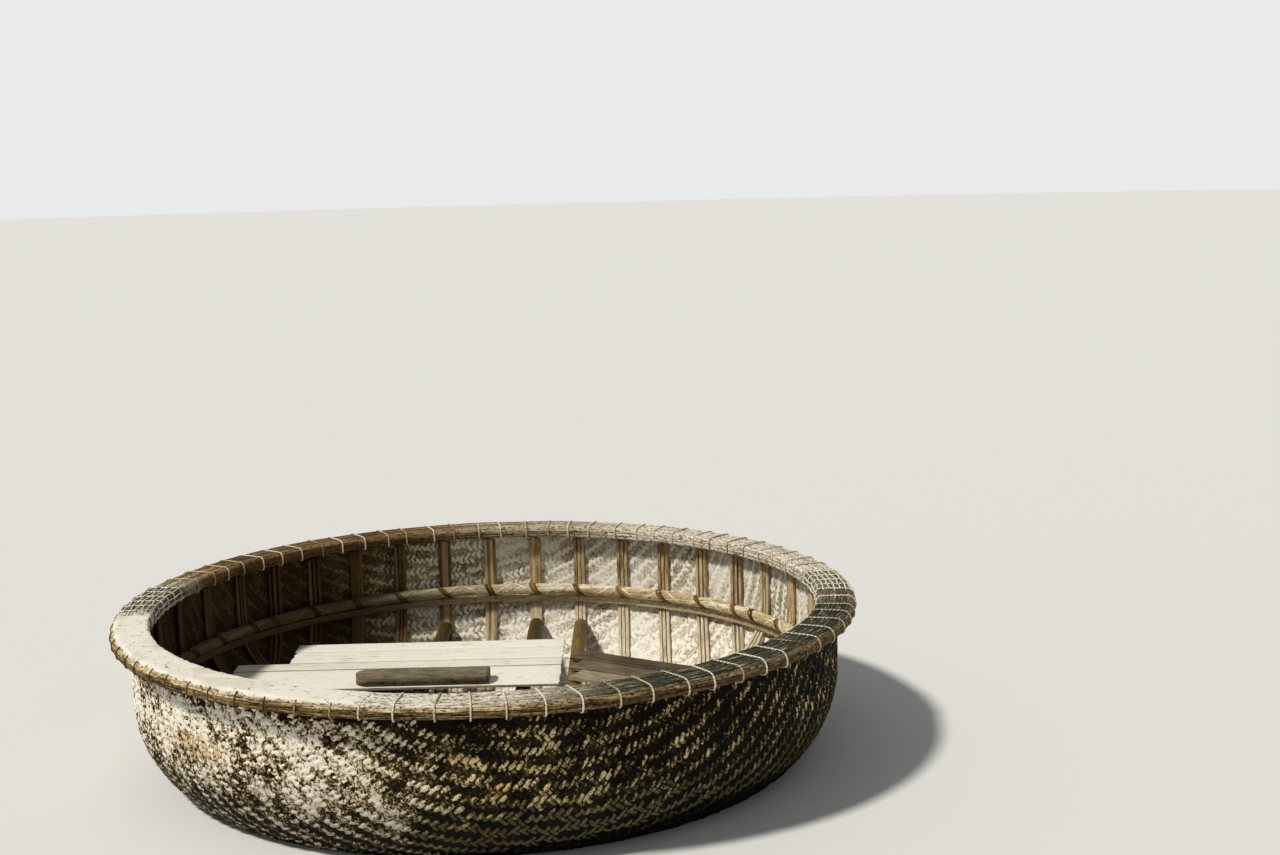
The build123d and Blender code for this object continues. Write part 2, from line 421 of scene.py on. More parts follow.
def rim_places(here, tint, blots, fibres):
    """Brown at the side, darker low down with painted shade, coated cream on top at the near left, painted
    shade and green moss at the near right, painted shade at the joints.
    """
    x, y, level = split(here)
    side = fade(calc3("LENGTH", join(x, y)), RIM_OUTSIDE - 0.014, RIM_OUTSIDE - 0.002)
    top = sub(1.0, side)
    scratched = total((fibres, 0.6), (blots, 0.4))
    tint = multiply_in(side, tint, ramp(scratched, (0.42, "5f4a30"), (0.49, "dcc9a0"), (0.56, "fff6e0")))
    # Painted shade on the rim's lower part, towards its underside
    tint = multiply_in(fade(level, RIM_UNDER + 0.024, RIM_UNDER + 0.002), tint, "8a7858")
    tint = multiply_in(mul(fade(x, 0.0, -0.4), fade(y, 0.1, 0.4), 0.8), tint, "b3935c")
    coated = mul(fade(x, 0.42, -0.12), fade(y, 0.35, 0.05), top, fade(blots, 0.36, 0.52), 0.88)
    tint = mix(coated, tint, "ece6d6")
    far_pale = mul(fade(x, 0.0, 0.5), fade(y, -0.12, 0.05), fade(blots, 0.34, 0.50), 0.75)
    tint = mix(far_pale, tint, "eae2d0")
    # Painted shade at the near right, and moss on the top there
    shade_and_moss = mul(fade(x, 0.1, 0.5), fade(y, -0.02, -0.22))
    tint = mix(mul(shade_and_moss, 0.45), tint, "4a3b20")
    moss = ramp(scratched, (0.46, "12150d"), (0.545, "3f432c"), (0.62, "c4c0a0"))
    tint = mix(mul(shade_and_moss, top, 0.95), tint, moss)
    # Painted shade in the joints, between and under the cords
    joint_shade = mul(fade(from_joint(y), 0.165, 0.125), 0.8)
    return mix(joint_shade, tint, mix(fibres, "1c150a", "5c4c2e"))


def rib_places(here, tint, blots, fibres):
    """Coated with the lining low on the right, paler at the right with painted sunlight, and dark on the
    left with painted shade.
    """
    x, _, level = split(here)
    lined = mul(fade(level, 0.25, 0.12), fade(x, -0.2, 0.3), 0.85)
    tint = mix(lined, tint, ramp(blots, (0.35, "a79b7c"), (0.6, "e0dac6")))
    # Paler at the right: pale patches with painted sunlight
    tint = mix(mul(fade(x, -0.2, 0.5), fade(blots, 0.40, 0.56), 0.6), tint, "dccba4")
    # Darker at the left: painted shade, with the lining's dark brown
    return multiply_in(mul(fade(x, 0.1, -0.55), 0.92), tint, "5f4b33")


def hoop_places(here, tint, blots, fibres):
    """Darkened at the left like the lining, partly dirt and partly painted shade."""
    # Painted shade and dirt at the left
    return multiply_in(mul(fade(split(here)[0], 0.05, -0.55), 0.92), tint, "55452b")


def board_places(here, tint, blots, fibres):
    """Brown on the side faces below the top: painted shade."""
    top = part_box("far_board_1")[1].z
    # Painted shade on the side faces, below the top
    edge = mul(fade(split(here)[2], top - 0.004, top - 0.007), 0.8)
    return mix(edge, tint, ramp(fibres, (0.4, "4f3d20"), (0.6, "9a8256")))


rim_finish = cane_finish("rim_finish", "43351f", "a8946c", "e9e1cb", rim_places, 0.06, 1.1)
rib_finish = cane_finish("rib_finish", "453319", "a58758", "d8c49b", rib_places)
hoop_finish = cane_finish("hoop_finish", "6b5028", "bda67a", "ece3c8", hoop_places, 0.08, 0.8)
wrap_finish = cane_finish("wrap_finish", "8f774a", "cdbb90", "efe8d0", hoop_places, 0.06)
tie_finish = cane_finish("tie_finish", "2f200e", "6f5228", "a08450", hoop_places)
board_finish = cane_finish("board_finish", "b5ab92", "ded8c6", "ece7d9", board_places, 0.2, 0.25, 9.0, 0.8)
plank_finish = cane_finish("plank_finish", "2b2418", "6e624d", "a79b82")
pole_finish = cane_finish("pole_finish", "2a1f0e", "54421f", "7d6636", roughness=0.5)
driftwood_finish = cane_finish("driftwood_finish", "2c2417", "776c57", "b0a58c", lift=0.08, pitted=0.7)
print([m.name for m in bpy.data.materials])

# %% [markdown]
# Cord shows its twist. Slanted ridges run round it, so the finish adds the way along
# the cord to the way round it and lets a sine rise and fall over the sum.

# %% Finish for cord
CORD = 0.005
TWIST = 0.011

cord_finish = new_finish("cord_finish")
here, shade, grain = marks()
run, lap, _ = split(grain)
ridges = calc("SINE", total((run, math.tau / TWIST), (lap, 4 / CORD)))
soil = noise(here, 9.0, 4.0, 0.6)
x, y, _ = split(here)
tarred = mul(fade(x, -0.1, -0.5), fade(y, -0.12, -0.25))
clean = fade(from_joint(y), 0.20, 0.15)
dirt = total((soil, 0.8), (shade, 0.45), (tarred, 0.60), (ridges, 0.06), (clean, -0.20))
tint = ramp(dirt, (0.50, "efe8d3"), (0.78, "bcae88"), (1.0, "57421f"))
end_finish(tint, ridges, 0.85, bump=0.8, depth=0.0012)

# %% [markdown]
# The skin is coated with tar, dung and resin, which fills the gaps between strips.
# Under the sun it wears off the strips' crowns first. So a strip is pale on its
# crown and near-black at its edges, where tar and painted shade lie. It is paler at
# the left than at the right, from sun-fading and painted sunlight and shade.

# %% Finishes for the skin
STRIP_PITCH = 0.0155
# Palettes: the tarred and stained ones carry painted shade, the sun-faded and lining ones painted
# sunlight, the damp one painted shade
TARRED_AND_SHADED = ((0.14, "0d0a05"), (0.37, "2d2615"), (0.49, "625738"), (0.59, "a9945f"), (0.73, "e8d6a6"))
BLEACHED_AND_SUNLIT = ((0.34, "180f05"), (0.43, "4e3a1e"), (0.50, "98825a"), (0.55, "d2c6a8"), (0.63, "f0eadb"))
STAINED_AND_SHADED = ((0.20, "2b200f"), (0.38, "52432a"), (0.52, "766443"), (0.66, "a89a70"), (0.80, "d0c6a6"))
LINED_AND_SUNLIT = ((0.30, "3a3423"), (0.42, "7c7559"), (0.52, "b5ab90"), (0.61, "ded6c4"), (0.72, "f2ece1"))
OCHRE_SPOT = (-0.66, -0.75, 0.25)
DAMP_AND_SHADED = ((0.35, "0c0a05"), (0.62, "312d20"), (0.90, "645e44"))


def strip_crown(grain, crown_end):
    """1 on a strip's crown, 0 at its edges and ends."""
    run, lap, _ = split(grain)
    edge = size_of(mul(lap, 2 / STRIP_PITCH))
    end = size_of(mul(run, 1 / STRIP_PITCH))
    return mul(fade(edge, 1.0, 0.5), fade(end, 1.05, crown_end))


def worn_and_shaded_finish(
    name, stops, pale_stops, lit_and_worn_at, weights,
    rust=0.0, fading=0.0, low_damp_and_shade=0.0, crown_end=0.82, roughness=0.65,
):
    """A coat that wears off in specks and patches, with painted shade between the strips. Weights: crown,
    specks, patches, strip's shade.
    """
    material = new_finish(name)
    here, shade, grain = marks()
    crown, specks, patches, strip = weights
    fine = noise(here, 125.0, 5.0, 0.72)
    middling = noise(here, 15.0, 5.0, 0.68)
    broad = noise(here, 3.0, 2.0, 0.5)
    tone = total((fine, specks), (middling, patches), (broad, 0.6), (shade, strip))
    rise, share = lit_and_worn_at(here)
    tone = add(tone, rise)
    if crown:
        # Crowns paler than the gaps: tar worn off them, and painted shade between the strips
        crown_wear_and_shade = strip_crown(grain, crown_end)
        tone = mul_add(mul(crown_wear_and_shade, mul_add(share, -fading, 1.0)), crown, tone)
    if fading > 0:
        coarse = sub(noise(here, 75.0, 4.0, 0.7), 0.5)
        clouds = sub(noise(here, 6.5, 3.0, 0.5), 0.45)
        tone = mul_add(total((coarse, specks * 0.6), (clouds, 0.9)), share, tone)
    tone = sub(tone, (specks + patches + strip) / 2 + 0.30)
    tint = mix(share, ramp(tone, *stops), ramp(tone, *pale_stops))
    if low_damp_and_shade:
        # Low down the strips are swollen and darker, damp and in painted shade, and a belt at the water,
        # damp with painted shade, is darkest
        x, _, level = split(here)
        waterline_damp_and_shade = fade(mul_add(fade(x, -0.2, 0.7), -0.05, level), 0.035, -0.005)
        swollen = crown_wear_and_shade if crown else 0.0
        low_tone = total((swollen, 0.45), (fine, 0.55), (middling, 0.25), (waterline_damp_and_shade, -0.45))
        damp_and_shade_share = mul(fade(level, 0.24, 0.07), mul_add(share, -0.35, low_damp_and_shade))
        tint = mix(damp_and_shade_share, tint, ramp(low_tone, *DAMP_AND_SHADED))
    # Ochre: a few broad patches, and one at the near left
    ochre = fade(noise(times(here, 1.0, 1.0, 2.2), 3.4, 2.0, 0.5), 0.58, 0.66)
    to_spot = times(calc3("SUBTRACT", here, OCHRE_SPOT), 0.8, 0.8, 3.5)
    from_spot = mul_add(middling, 0.20, calc3("LENGTH", to_spot))
    spot = mul(fade(from_spot, 0.27, 0.13), 1.5)
    tint = multiply_in(mul(larger(ochre, spot), rust), tint, "cca456")
    end_finish(tint, total((fine, 1.0), (middling, 0.5)), roughness, 0.55, 0.003, 0.04)
    return material


def lit_and_worn_outside(here):
    """Paler at the left, sun-faded and painted sunlit; darker at the right with tar and painted shade,
    under the rim with soil and the rim's painted shadow, and near the waterline with damp and painted
    shade.
    """
    x, _, level = split(here)
    # A band under the rim: the rim's painted shadow, with soil
    wander = mul(noise(times(here, 1.0, 1.0, 0.4), 5.0, 3.0, 0.6), 0.09)
    under_rim = fade(add(level, wander), RIM_UNDER - 0.010, RIM_UNDER + 0.034)
    shadow_and_soil_reach = mul(fade(x, -1.0, -0.80), fade(x, 0.5, -0.6))
    shade_and_grime_bands = larger(fade(level, 0.19, 0.0), mul(under_rim, shadow_and_soil_reach))
    # The border between the sun-faded, painted-sunlit side and the tarred, painted-shade side wanders
    border = mul_add(sub(noise(here, 2.6, 3.0, 0.6), 0.5), 0.9, x)
    # Paler at the left: sun-fading and painted sunlight
    sunlit_and_bleached = fade(border, 0.14, -0.32)
    washed = mul(fade(x, -0.50, -0.85), fade(level, 0.15, 0.27))
    mossy = fade(x, 0.55, 0.95)
    lifts = total((sunlit_and_bleached, 0.34), (washed, 0.10), (shade_and_grime_bands, -0.26), (mossy, -0.08))
    return add(lifts, 0.175), fade(border, 0.10, -0.34)


def lit_and_worn_inside(here):
    """Cream and painted sunlit at the right, dark brown and painted shade at the left."""
    x, y, _ = split(here)
    # Painted sunlight at the right and painted shade at the left, over the lining's own cream and brown
    pale = fade(mul_add(y, 0.4, x), -0.35, 0.40)
    return total((pale, 0.38), (1.0, 0.20)), pale


outside_lit_and_worn = (TARRED_AND_SHADED, BLEACHED_AND_SUNLIT, lit_and_worn_outside)
inside_lit_and_worn = (STAINED_AND_SHADED, LINED_AND_SUNLIT, lit_and_worn_inside)
outside_weights = (0.30, 1.9, 1.25, 0.32)
outside_finish = worn_and_shaded_finish("outside_finish", *outside_lit_and_worn, outside_weights, 0.50, 0.55, low_damp_and_shade=0.9)
tar_finish = worn_and_shaded_finish("tar_finish", *outside_lit_and_worn, (0.0, 1.2, 0.9, 0.0), low_damp_and_shade=0.9)
inside_weights = (0.10, 0.9, 0.5, 0.06)
inside_looks = dict(fading=-2.0, crown_end=0.5, roughness=0.75)
inside_finish = worn_and_shaded_finish("inside_finish", *inside_lit_and_worn, inside_weights, **inside_looks)
lining_finish = worn_and_shaded_finish("lining_finish", *inside_lit_and_worn, (0.0, 0.8, 0.5, 0.0), roughness=0.75)


# %% [markdown]
# Where the coat lies thick it is smooth and cream, with dark pits and hairline cracks.
# The cracks lie where a broad noise passes its middle value.

# %% Finish for the caked coat
caked_finish = new_finish("caked_finish")
here = here_now()
soil = noise(here, 9.0, 4.0, 0.6)
seam = size_of(sub(noise(here, 7.0, 5.0, 0.55), 0.5))
cracks = mul(fade(seam, 0.004, 0.0015), fade(soil, 0.52, 0.58))
dirt = larger(fade(noise(here, 55.0, 5.0, 0.72), 0.395, 0.36), cracks)
tint = mix(mul(dirt, 0.85), ramp(soil, (0.35, "d3cbb6"), (0.5, "e6e1d2")), "4a3b22")
end_finish(tint, total((soil, 0.6), (dirt, -0.5)), 0.6, 0.4)
print("skin and coat finishes made")

# %% [markdown]
# The floor lies at the waterline, so the hull goes through it. It has a round hole
# just inside the hull's skin, or it would show inside the boat.

# %% Floor, sky and lamps
WATERLINE_RADIUS = 0.874
FLOOR_REACH = 60.0
FLOOR_STEPS = 96

corners = []
for radius in (WATERLINE_RADIUS, FLOOR_REACH):
    corners += [(radius * math.cos(a), radius * math.sin(a), 0.0) for a in full_turn(FLOOR_STEPS)]
quads = []
for i in range(FLOOR_STEPS):
    j = (i + 1) % FLOOR_STEPS
    quads.append((i, i + FLOOR_STEPS, j + FLOOR_STEPS, j))
floor_mesh = bpy.data.meshes.new("floor")
floor_mesh.from_pydata(corners, [], quads)
floor = bpy.data.objects.new("floor", floor_mesh)
bpy.context.scene.collection.objects.link(floor)
floor_finish = bpy.data.materials.new("floor_finish")
floor_finish.use_nodes = True
floor_shader = floor_finish.node_tree.nodes["Principled BSDF"]
floor_shader.inputs["Base Color"].default_value = colour("dcdcd8")
floor_shader.inputs["Roughness"].default_value = 0.85
floor_mesh.materials.append(floor_finish)

SKY_LIGHT = 0.30
SUN_LIGHT = 3.1
SUN_WIDTH = math.radians(6)
TOWARDS_SUN = Vector((-0.52, -0.30, 0.80))

# The sky lights the boat softly, and shows plain behind it
world = bpy.data.worlds.new("world")
world.use_nodes = True
world.node_tree.nodes.clear()
open_tree(world.node_tree)
sky = colour("e9eaec")
light_path = put("ShaderNodeLightPath").outputs
seen = larger(light_path["Is Camera Ray"], light_path["Is Glossy Ray"])
seen = larger(seen, light_path["Is Transmission Ray"])
soft = lay("ShaderNodeBackground", {"Color": sky, "Strength": SKY_LIGHT})
plain = lay("ShaderNodeBackground", {"Color": sky, "Strength": 1.0})
both = lay("ShaderNodeMixShader", {0: seen, 1: soft, 2: plain})
put("ShaderNodeOutputWorld", {"Surface": both})
bpy.context.scene.world = world

sun = bpy.data.lights.new("sun", "SUN")
sun.energy = SUN_LIGHT
sun.angle = SUN_WIDTH
sun.color = (1.0, 0.97, 0.90)
sun_lamp = bpy.data.objects.new("sun", sun)
sun_lamp.rotation_euler = TOWARDS_SUN.to_track_quat("Z", "Y").to_euler()
bpy.context.scene.collection.objects.link(sun_lamp)
print("floor and lamps set")

# %% [markdown]
# The bowl's outline is needed often: a wall that stands upright, a round turn and a
# shallow bottom. One short class gives a face of the bowl at any depth in the wall,
# so the mat, the ribs and the hoop can all be laid on it.


# %% The bowl's faces
class Face:
    """A face of a bowl: its wall radius, how far the turn starts below the crest, its turn."""

    def __init__(self, wall, drop, turn):
        self.wall = wall
        self.turn = turn
        self.middle = wall - turn
        self.bottom = (self.middle**2 + DISH**2) / (2 * DISH) + turn
        self.lean = math.asin(self.middle / (self.bottom - turn))
        self.turn_z = CREST - drop
        self.bottom_z = self.turn_z - turn - DISH + self.bottom

    def inside(self, thick):
        return Face(self.wall - thick, CREST - self.turn_z, self.turn - thick)

    def at(self, r):
        """Level at a radius, and the way that the inside faces there, as (outwards, up)."""
        if r <= self.bottom * math.sin(self.lean):
            rise = math.sqrt(self.bottom**2 - r**2)
            return self.bottom_z - rise, (-r / self.bottom, rise / self.bottom)
        out = min(r - self.middle, self.turn)
        rise = math.sqrt(self.turn**2 - out**2)
        return self.turn_z - rise, (-out / self.turn, rise / self.turn)

    def outline(self, top, steps=24):
        """Points (radius, level) from the middle of the bottom to the top of the wall."""
        found = []
        for i in range(steps):
            angle = self.lean * i / steps
            found.append((self.bottom * math.sin(angle), self.bottom_z - self.bottom * math.cos(angle)))
        for i in range(steps + 1):
            angle = self.lean + (math.pi / 2 - self.lean) * i / steps
            out, down = self.turn * math.sin(angle), self.turn * math.cos(angle)
            found.append((self.middle + out, self.turn_z - down))
        found.append((self.wall, top))
        return found


def outline_path(points):
    return paths([[((r, 0, z), (0, 1, 0)) for r, z in points]])


hull_face = Face(HULL_RADIUS, WALL_DROP, BILGE_RADIUS)
outline = hull_face.outline(RIM_UNDER)
mat_radius = sum(math.dist(a, b) for a, b in zip(outline, outline[1:]))
print("the mat is", round(2 * mat_radius, 2), "m across before it is bent")

# %% [markdown]
# Under the strips lies the coat that holds them. It is a plain turned shell, a
# little thinner than the wall. A tree bends a flat grid into it: one way of the grid
# goes round the axis, the other along the outline, out and back inside.


# %% Tree: a shell turned about the axis
def turned_tree(name, material):
    given = shape_tree(name, "", "Around Along")
    grid = flat_grid(1.0, 1.0, given["Around"], given["Along"])
    x, y, _ = split(position())
    radius, _, level = split(on_line(given, "Factor", add(y, 0.5))["Position"])
    bent = swept(grid, mul(x, math.tau), radius, level)
    closed = lay("GeometryNodeMergeByDistance", {"Geometry": bent, "Distance": 0.0002})
    return close_tree(closed, material)


# %% The coat
WEAVE_RISE = 0.0036
COAT_INSET = 0.0030

outside_line = hull_face.inside(COAT_INSET).outline(CAP_UNDER)
inside_line = hull_face.inside(WALL - COAT_INSET).outline(CAP_UNDER)
between_line = hull_face.inside(WALL / 2).outline(CAP_UNDER)
for name, near, far, material in (
    ("coat_outside", outside_line, between_line, tar_finish),
    ("coat_inside", between_line, inside_line, lining_finish),
):
    tree = turned_tree(name + "_shell", material)
    grow(name, tree, "woven_wall", outline_path(near + far[::-1]), ["hull_basket"], Around=145, Along=110)

# %% [markdown]
# The skin is a flat mat of strips, over two and under two, pushed into a bowl. A tree
# makes one short arched tile, the part of a strip that shows, sets it at every fourth
# crossing of a flat grid, then bends the whole mat onto the bowl's outline. So the
# strips cross on the slant round the sides, as in the real mat.


# %% Tree: a mat laid on a bowl
def mat_tree(name, material):
    given = shape_tree(name, "Pitch Reach Rise Start Quarter Turn Facing Waver Dim", "Stations")
    pitch, reach = given["Pitch"], given["Reach"]
    # One tile: the stretch of a strip that shows, arched along and across
    tile_long, tile_wide = mul(pitch, 2.10), mul(pitch, 0.96)
    tile = flat_grid(tile_long, tile_wide, given["Stations"], given["Stations"])
    at = position()
    x, y, _ = split(at)
    u = size_of(div(x, mul(tile_long, 0.5)))
    v = size_of(div(y, mul(tile_wide, 0.5)))
    arch = sub(1.0, total((calc("POWER", u, 3.0), 1.0), (calc("POWER", v, 3.0), 0.8)))
    tile = store(tile, "grain", at, "FLOAT_VECTOR")
    tile = moved(tile, Position=join(x, y, mul(arch, given["Rise"])))
    # The flat grid of crossings, and which of them carry a tile of this set
    half_count = calc("CEIL", div(reach, pitch))
    count = mul_add(half_count, 2.0, 1.0)
    size = mul(half_count, 2.0, pitch)
    grid = flat_grid(size, size, count, count)
    crossing = position()
    gx, gy, _ = split(crossing)
    column = calc("ROUND", div(gx, pitch))
    row = calc("ROUND", div(gy, pitch))
    step = calc("FLOORED_MODULO", sub(column, row), 4.0)
    is_near = calc("LESS_THAN", calc3("LENGTH", crossing), reach)
    chosen = mul(calc("COMPARE", step, given["Start"], 0.1), is_near)
    along = mul(given["Quarter"], math.pi / 2)
    cosine, sine = calc("COSINE", along), calc("SINE", along)
    half = mul(pitch, 0.5)
    # A shade for each strip of the mat, and a little more for each tile, less the set's painted shade
    strip = add(calc("ROUND", total((column, sine), (row, cosine))), 500.0)
    shade = sub(add(chance(0.0, 0.45, 7, strip), chance(0.0, 0.55, 9)), given["Dim"])
    spots = moved(store(grid, "shade", shade), Offset=join(mul(half, cosine), mul(half, sine)))
    wobble = add(along, chance(-0.07, 0.07, 3))
    angle = lay("FunctionNodeEulerToRotation", {0: join(0.0, 0.0, wobble)})
    swell = join(1.0, chance(0.86, 1.04, 4), chance(0.6, 1.1, 5))
    fed = {"Points": spots, "Selection": chosen, "Instance": tile, "Rotation": angle, "Scale": swell}
    tiles = realized(lay("GeometryNodeInstanceOnPoints", fed))
    turn = join(0.0, 0.0, given["Turn"])
    flat = lay("GeometryNodeTransform", {"Geometry": tiles, "Rotation": turn})
    # An uneven lie, the same for neighbours
    fed = {"Vector": position(), "Scale": 30.0, "Detail": 2.0}
    drift = calc3("SUBTRACT", put("ShaderNodeTexNoise", fed).outputs[1], (0.5, 0.5, 0.5))
    flat = moved(flat, Offset=times(scaled(drift, given["Waver"]), 1.0, 1.0, 0.5))
    # Bend the mat: walk as far along the outline as the point lies from the middle
    fx, fy, fz = split(position())
    far = calc3("LENGTH", join(fx, fy))
    sample = on_line(given, "Length", far)
    line_r, _, line_z = split(sample["Position"])
    tangent_r, _, tangent_z = split(sample["Tangent"])
    lift = mul(fz, given["Facing"])
    radius = mul_add(tangent_z, lift, line_r)
    level = sub(line_z, mul(tangent_r, lift))
    scale = div(radius, larger(far, 0.0001))
    bent = moved(flat, Position=join(mul(fx, scale), mul(fy, scale), level))
    is_out = lay("FunctionNodeCompare", {0: given["Facing"], 1: 0.0}, operation="GREATER_THAN")
    facing = lay("GeometryNodeFlipFaces", {"Mesh": bent, "Selection": is_out})
    return close_tree(facing, material, crease=3.0)


# %% Weave the skin, outside and inside
MAT_TURN = math.radians(-32)
MAT_REACH = mat_radius - 0.012

outside_mat = mat_tree("outside_mat", outside_finish)
inside_mat = mat_tree("inside_mat", inside_finish)
# Name, tree, line, first crossing, quarter turns, rise, painted shade, side it faces, stations
MATS = (
    ("outside_a", outside_mat, outside_line, 0.0, 1.0, 0.80, 0.5, 1.0, 4),
    ("outside_b", outside_mat, outside_line, 1.0, 0.0, 1.0, 0.0, 1.0, 4),
    ("inside_a", inside_mat, inside_line, 2.0, 1.0, 1.0, 0.0, -1.0, 3),
    ("inside_b", inside_mat, inside_line, 3.0, 0.0, 1.0, 0.0, -1.0, 3),
)
for name, tree, line, start, quarter, rise, painted_shade, facing, stations in MATS:
    sizes = dict(Pitch=STRIP_PITCH, Reach=MAT_REACH, Rise=WEAVE_RISE * rise, Turn=MAT_TURN, Waver=0.012)
    marked = dict(Start=start, Quarter=quarter, Dim=painted_shade, Facing=facing, Stations=stations)
    grow(f"weave_{name}", tree, "woven_wall", outline_path(line), **sizes, **marked)

# %% [markdown]
# The rim, the ribs, the hoop and the poles are all canes: a bamboo culm, whole or
# split, bent along a line. One tree sweeps a rounded section along each line of its
# source, swells it at the knuckles and roughens it, and marks its grain.


# %% Tree: a cane along a line
KNUCKLE_LONG = 0.009


def cane_tree(name, material):
    given = shape_tree(name, "Wide Thick Corner Step Knuckles Swell Waver Rough", "Sides")
    fed = {"Curve": line_of(given), "Length": given["Step"]}
    line = lay("GeometryNodeResampleCurve", fed, mode="LENGTH")
    fed = {"Curve": line, "Normal": stored("facing", "FLOAT_VECTOR")}
    line = lay("GeometryNodeSetCurveNormal", fed, mode="FREE")
    line = store(line, "run", put("GeometryNodeSplineParameter").outputs["Length"])
    # The section: a circle whose corners can be squared
    fed = {"Resolution": given["Sides"], "Radius": 1.0}
    ring = lay("GeometryNodeCurvePrimitiveCircle", fed, mode="RADIUS")
    cosine, sine, _ = split(position())

    def squared(value, size):
        grown = calc("POWER", size_of(value), given["Corner"])
        return mul(calc("SIGN", value), grown, mul(size, 0.5))

    girth = div(add(given["Wide"], given["Thick"]), math.pi)
    ring = store(ring, "lap", mul(calc("ARCTAN2", sine, cosine), girth))
    ring = moved(ring, Position=join(squared(cosine, given["Thick"]), squared(sine, given["Wide"])))
    # Swelling at the knuckles, a bell curve of the way from each, and a slow waver
    run, shade, every = stored("run"), stored("shade"), given["Knuckles"]
    half_every = mul(every, 0.5)
    off = calc("WRAP", mul_add(shade, every, run), half_every, mul(half_every, -1.0))
    near = div(off, KNUCKLE_LONG)
    pulse = calc("POWER", 2.718, mul(near, near, -1.0))
    drift = sub(noise(join(mul(run, 5.0), mul(shade, 90.0)), 1.0, 2.0, 0.5), 0.5)
    scale = add(total((pulse, given["Swell"]), (drift, given["Waver"])), 1.0)
    fed = {"Curve": line, "Profile Curve": ring, "Scale": scale, "Fill Caps": True}
    cane = lay("GeometryNodeCurveToMesh", fed)
    cane = store(cane, "grain", join(run, stored("lap")), "FLOAT_VECTOR")
    # Long shallow furrows
    at = times(stored("grain", "FLOAT_VECTOR"), 9.0, 150.0, 1.0)
    spot = calc3("ADD", at, join(mul(shade, 40.0), 0.0))
    lift = mul(sub(noise(spot, 1.0, 2.0, 0.5), 0.5), given["Rough"])
    return close_tree(moved(cane, Offset=scaled(lay("GeometryNodeInputNormal"), lift)), material)


rim_cane = cane_tree("rim_cane", rim_finish)
rib_cane = cane_tree("rib_cane", rib_finish)
hoop_cane = cane_tree("hoop_cane", hoop_finish)
wrap_cane = cane_tree("wrap_cane", wrap_finish)
pole_cane = cane_tree("pole_cane", pole_finish)
cord_line = cane_tree("cord_line", cord_finish)
print("six cane trees, one per finish")

# %% [markdown]
# The rim clamps the mat's edge. Its section is a block with round corners, widest at
# the outer top, and its skin is narrow splits of bamboo laid side by side all the way
# over it. So the section is drawn once as an outline, and each split gets a place on
# it and runs round the boat as a ring, cut into a few lengths.

# %% The rim's section
rim_middle = (RIM_OUTSIDE + RIM_INSIDE) / 2
rim_level = (CREST + RIM_UNDER) / 2
half_across = (RIM_OUTSIDE - RIM_INSIDE) / 2
half_tall = (CREST - RIM_UNDER) / 2
RIM_CORNERS = ((-1, -1, 0.006), (-1, 1, 0.011), (1, 1, 0.022), (1, -1, 0.010))


def rim_outline(proud=0.0, steps=6):
    """Points round the section: up inside, over, down outside, back under. Proud is how far off it."""
    found = []
    for number, (side, rise, bend) in enumerate(RIM_CORNERS):
        for i in range(steps + 1):
            angle = -math.pi / 2 * (number + 1 + i / steps)
            x = side * (half_across - bend) + (bend + proud) * math.cos(angle)
            z = rise * (half_tall - bend) + (bend + proud) * math.sin(angle)
            found.append(Vector((x, z)))
    return found


def at_length(points, length):
    """The place at a length along a line of points, and which way is off it."""
    for a, b in zip(points, points[1:]):
        step = (b - a).length
        way = (b - a).normalized()
        if length <= step:
            return a + way * length, Vector((-way.y, way.x))
        length -= step
    return points[-1], Vector((-way.y, way.x))


def rim_point(angle, place, off):
    """A place of the section carried to an angle round the boat, and the way off it."""
    out = Vector((math.cos(angle), math.sin(angle), 0))
    at = out * (rim_middle + place.x) + Vector((0, 0, rim_level + place.y))
    return at, out * off.x + Vector((0, 0, off.y))


def rim_profile(points):
    return outline_path([(rim_middle + p.x, rim_level + p.y) for p in points])


def length_of(points):
    return sum((b - a).length for a, b in zip(points, points[1:]))


# %% The rim's splits
SPLIT_WIDE = 0.0098
SPLIT_THICK = 0.005
RING_STEPS = 240


def split_ring(place, off, seed, waver=0.0022):
    """One split all the way round, in a few lengths that butt."""
    draw = random.Random(seed)
    first = draw.uniform(0, RING_STEPS / 3)
    cuts = sorted((first + draw.uniform(0.8, 1.2) * RING_STEPS * i / 3) % RING_STEPS for i in range(3))
    lines = []
    for start, end in zip(cuts, cuts[1:] + [cuts[0] + RING_STEPS]):
        line = []
        count = max(4, round(end - start))
        for i in range(count + 1):
            turn = math.tau * (start + (end - start - 0.12) * i / count) / RING_STEPS
            sway = field.noise(Vector((math.cos(turn) * 5, math.sin(turn) * 5, seed * 7.3))) * waver
            line.append(rim_point(turn, place + off * sway, off))
        lines.append(line)
    return lines


path = rim_outline()[3:25]
split_count = round(length_of(path) / SPLIT_WIDE)
split_pitch = length_of(path) / split_count
groups = {"inner": [], "top": [], "outer": []}
for i in range(split_count):
    place, off = at_length(path, split_pitch * (i + 0.5))
    side = "top" if off.y > 0.6 else "outer" if off.x > 0 else "inner"
    groups[side] += split_ring(place - off * SPLIT_THICK / 2, off, 100 + i)
rim_sizes = dict(Corner=0.7, Sides=8, Step=0.014, Knuckles=0.33, Swell=0.08, Waver=0.25, Rough=0.0018)
STOOD_FOR = {
    "inner": ["inner_hoop_upper", "inner_hoop_lower"],
    "top": [f"cap_splint_{i}" for i in range(1, 6)],
    "outer": ["outer_hoop_upper", "outer_hoop_lower"],
}
for number, (side, lines) in enumerate(groups.items()):
    sizes = dict(Wide=split_pitch * 0.98, Thick=SPLIT_THICK, **rim_sizes)
    source = paths(lines, seed=10 + number)
    grow(f"rim_splits_{side}", rim_cane, "rim_bamboo", source, STOOD_FOR[side], **sizes)

